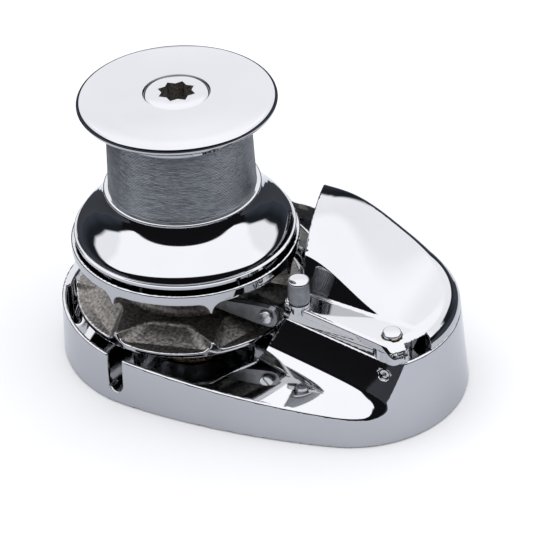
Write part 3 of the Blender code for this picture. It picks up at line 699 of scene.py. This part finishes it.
def make_plunger_spring():
    """The plunger's wire spring, made as a fixed coil that does not close up as the knob is
    pulled.
    """
    low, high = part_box("plunger_spring")
    wire, coils, per_coil, sides = 0.4, 5, 24, 8
    bottom, top = 1000.0 * low.z + wire, 1000.0 * high.z - wire
    made = bmesh.new()
    rings = []
    count = coils * per_coil + 1
    for i in range(count):
        t = 2.0 * pi * i / per_coil
        height = bottom + (top - bottom) * i / (count - 1)
        ring = []
        for j in range(sides):
            u = 2.0 * pi * j / sides
            reach = 3.4 + wire * cos(u)
            x, y = KNOB[0] + reach * cos(t), KNOB[1] + reach * sin(t)
            ring.append(made.verts.new((0.001 * x, 0.001 * y, 0.001 * (height + wire * sin(u)))))
        rings.append(ring)
    for before, after in zip(rings, rings[1:]):
        for j in range(sides):
            k = (j + 1) % sides
            made.faces.new((before[j], after[j], after[k], before[k]))
    made.faces.new(rings[0])
    made.faces.new(list(reversed(rings[-1])))
    bmesh.ops.recalc_face_normals(made, faces=made.faces)
    mesh = bpy.data.meshes.new("spring_coil")
    made.to_mesh(mesh)
    made.free()
    mesh.shade_smooth()
    spring = link("spring_coil", mesh)
    dress(spring, STEEL)
    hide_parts("plunger_spring")
    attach(spring, "cover")
    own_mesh(spring)


def dress_frame():
    """Finishes for the CAD solids that stay visible, with the pressure arm's and the stripper
    plate's edges broken.
    """
    looks = {
        "polished_casting": CHROME, "cast_chainwheel": CAST, "plain_steel": STEEL,
        "satin_steel": MATTE, "bush_bronze": BRONZE, "gasket_rubber": RUBBER,
    }
    slots = {part["node"]: part["material_slot"] for part in frame["record"]["subparts"]}
    for name, node in frame["nodes"].items():
        dress(node, looks[slots[name]])
    for name in ("pressure_arm", "stripper_plate"):
        edge = frame["nodes"][name].modifiers.new("edge", "BEVEL")
        edge.width = 0.0004
        edge.segments = 2
        edge.limit_method = "ANGLE"
        edge.angle_limit = radians(40.0)


# ---------------------------------------------------------------- studio

def make_floor():
    """Pale floor as the camera sees it. In the metal's reflections its colour is painted: a
    bluish-grey painted reflection round the windlass, ending in painted darkness further out.
    """
    mesh = bpy.data.meshes.new("floor")
    size = 6.0
    mesh.from_pydata([(-size, -size, 0), (size, -size, 0), (size, size, 0), (-size, size, 0)], [],
                     [(0, 1, 2, 3)])
    floor = link("floor", mesh)
    floor.location.z = -0.0002
    made, nodes, links, shader = shader_nodes("pale_floor_painted_reflection")
    shader.inputs["Roughness"].default_value = 0.9
    shader.inputs["Specular IOR Level"].default_value = 0.1
    grain = noise(nodes, links, 3.0)
    pale = coloured(nodes, links, grain, (0.72, 0.72, 0.725), (0.74, 0.74, 0.745))
    where = nodes.new("ShaderNodeNewGeometry").outputs["Position"]
    reach = nodes.new("ShaderNodeVectorMath")
    reach.operation = "DISTANCE"
    reach.inputs[1].default_value = PAINTED_REFLECTION_CENTRE
    links.new(where, reach.inputs[0])
    # Painted reflection: rays reflected off the metal see a painted bluish-grey floor inside the
    # radius and painted darkness beyond it, not the pale floor.
    far = math_node(nodes, links, "GREATER_THAN", reach.outputs["Value"], PAINTED_REFLECTION_RADIUS)
    mirrored = nodes.new("ShaderNodeLightPath").outputs["Is Glossy Ray"]
    painted_floor_reflection = nodes.new("ShaderNodeRGB").outputs[0]
    painted_floor_reflection.default_value = (0.625, 0.64, 0.68, 1.0)
    # Painted darkness for the floor as seen in the metal's reflections.
    dark = nodes.new("ShaderNodeRGB").outputs[0]
    dark.default_value = (0.03, 0.033, 0.04, 1.0)
    painted_reflection = mixed(nodes, links, far, painted_floor_reflection, dark)
    links.new(mixed(nodes, links, mirrored, pale, painted_reflection), shader.inputs["Base Color"])
    floor.data.materials.append(made)


def world_ramp(nodes, links, value, stops):
    ramp = nodes.new("ShaderNodeValToRGB")
    ramp.color_ramp.interpolation = "LINEAR"
    elements = ramp.color_ramp.elements
    elements[0].position = stops[0][0]
    elements[1].position = stops[-1][0]
    for position, _ in stops[1:-1]:
        elements.new(position)
    for element, (_, colour) in zip(elements, stops):
        element.color = (*colour, 1.0)
    links.new(value, ramp.inputs["Fac"])
    return ramp.outputs["Color"]


def along(nodes, links, vector, direction):
    """How far the direction of a ray lies along a fixed direction of the room."""
    dot = nodes.new("ShaderNodeVectorMath")
    dot.operation = "DOT_PRODUCT"
    dot.inputs[1].default_value = direction
    links.new(vector, dot.inputs[0])
    return dot.outputs["Value"]


def mixed(nodes, links, factor, first, second):
    mix = nodes.new("ShaderNodeMix")
    mix.data_type = "RGBA"
    links.new(factor, mix.inputs[0])
    links.new(first, mix.inputs[6])
    links.new(second, mix.inputs[7])
    return mix.outputs[2]


def math_node(nodes, links, operation, value, other):
    made = nodes.new("ShaderNodeMath")
    made.operation = operation
    links.new(value, made.inputs[0])
    if isinstance(other, float):
        made.inputs[1].default_value = other
    else:
        links.new(other, made.inputs[1])
    return made.outputs[0]


def make_world():
    """Soft studio: a bright tent with a straight lower edge, and darkness low round the room."""
    world = bpy.data.worlds.new("studio")
    bpy.context.scene.world = world
    world.use_nodes = True
    nodes, links = world.node_tree.nodes, world.node_tree.links
    nodes.clear()
    where = nodes.new("ShaderNodeTexCoord").outputs["Generated"]
    height = along(nodes, links, where, (0.0, 0.0, 1.0))
    front = along(nodes, links, where, ROOM_FRONT)
    edge = math_node(nodes, links, "MAXIMUM", front, 0.36)
    edge = math_node(nodes, links, "MULTIPLY", edge, 0.75)
    over = math_node(nodes, links, "ADD", math_node(nodes, links, "SUBTRACT", height, edge), 0.5)
    dark, soft, bright = (0.010, 0.010, 0.012), (1.58, 1.59, 1.64), (1.85, 1.86, 1.90)
    tent = world_ramp(nodes, links, over, [
        (0.0, dark), (0.485, dark), (0.515, bright), (1.0, bright)])
    walls = world_ramp(nodes, links, over, [
        (0.0, (0.09, 0.105, 0.135)), (0.30, (0.05, 0.06, 0.08)), (0.42, (0.02, 0.025, 0.03)),
        (0.50, (0.02, 0.025, 0.03)), (0.55, soft), (0.80, soft), (0.90, bright), (1.0, bright)])
    behind = world_ramp(nodes, links, front, [(0.0, (1.0,) * 3), (0.10, (0.0,) * 3)])
    light = mixed(nodes, links, behind, tent, walls)
    room = nodes.new("ShaderNodeBackground")
    links.new(light, room.inputs["Color"])
    plain = nodes.new("ShaderNodeBackground")
    plain.inputs["Color"].default_value = (1.0, 1.0, 1.0, 1.0)
    ray = nodes.new("ShaderNodeLightPath")
    mix = nodes.new("ShaderNodeMixShader")
    out = nodes.new("ShaderNodeOutputWorld")
    links.new(ray.outputs["Is Camera Ray"], mix.inputs["Fac"])
    links.new(room.outputs["Background"], mix.inputs[1])
    links.new(plain.outputs["Background"], mix.inputs[2])
    links.new(mix.outputs["Shader"], out.inputs["Surface"])


def make_camera():
    a, e, roll = radians(CAMERA_AZIMUTH), radians(CAMERA_ELEVATION), radians(CAMERA_ROLL)
    back = Vector((0.0, -cos(e), sin(e)))
    right = Vector((1.0, 0.0, 0.0))
    up = back.cross(right)
    side = right * cos(roll) + up * sin(roll)
    rise = up * cos(roll) - right * sin(roll)
    place = back * CAMERA_DISTANCE + side * CAMERA_ASIDE + rise * CAMERA_UP
    turn = Matrix.Rotation(a, 3, "Z")
    axes = Matrix((turn @ side, turn @ rise, turn @ back)).transposed()
    data = bpy.data.cameras.new("camera")
    data.sensor_width = 36.0
    data.lens = CAMERA_LENS
    data.clip_start = 0.05
    data.clip_end = 100.0
    camera = bpy.data.objects.new("camera", data)
    camera.matrix_world = Matrix.Translation(turn @ place) @ axes.to_4x4()
    bpy.context.scene.collection.objects.link(camera)
    bpy.context.scene.camera = camera


bpy.context.scene.view_settings.view_transform = "Standard"
dress_frame()
make_base()
make_cover()
make_gypsy()
make_drum()
make_nut()
make_pin()
make_knob()
make_screw()
make_plunger_spring()
make_floor()
make_world()
make_camera()
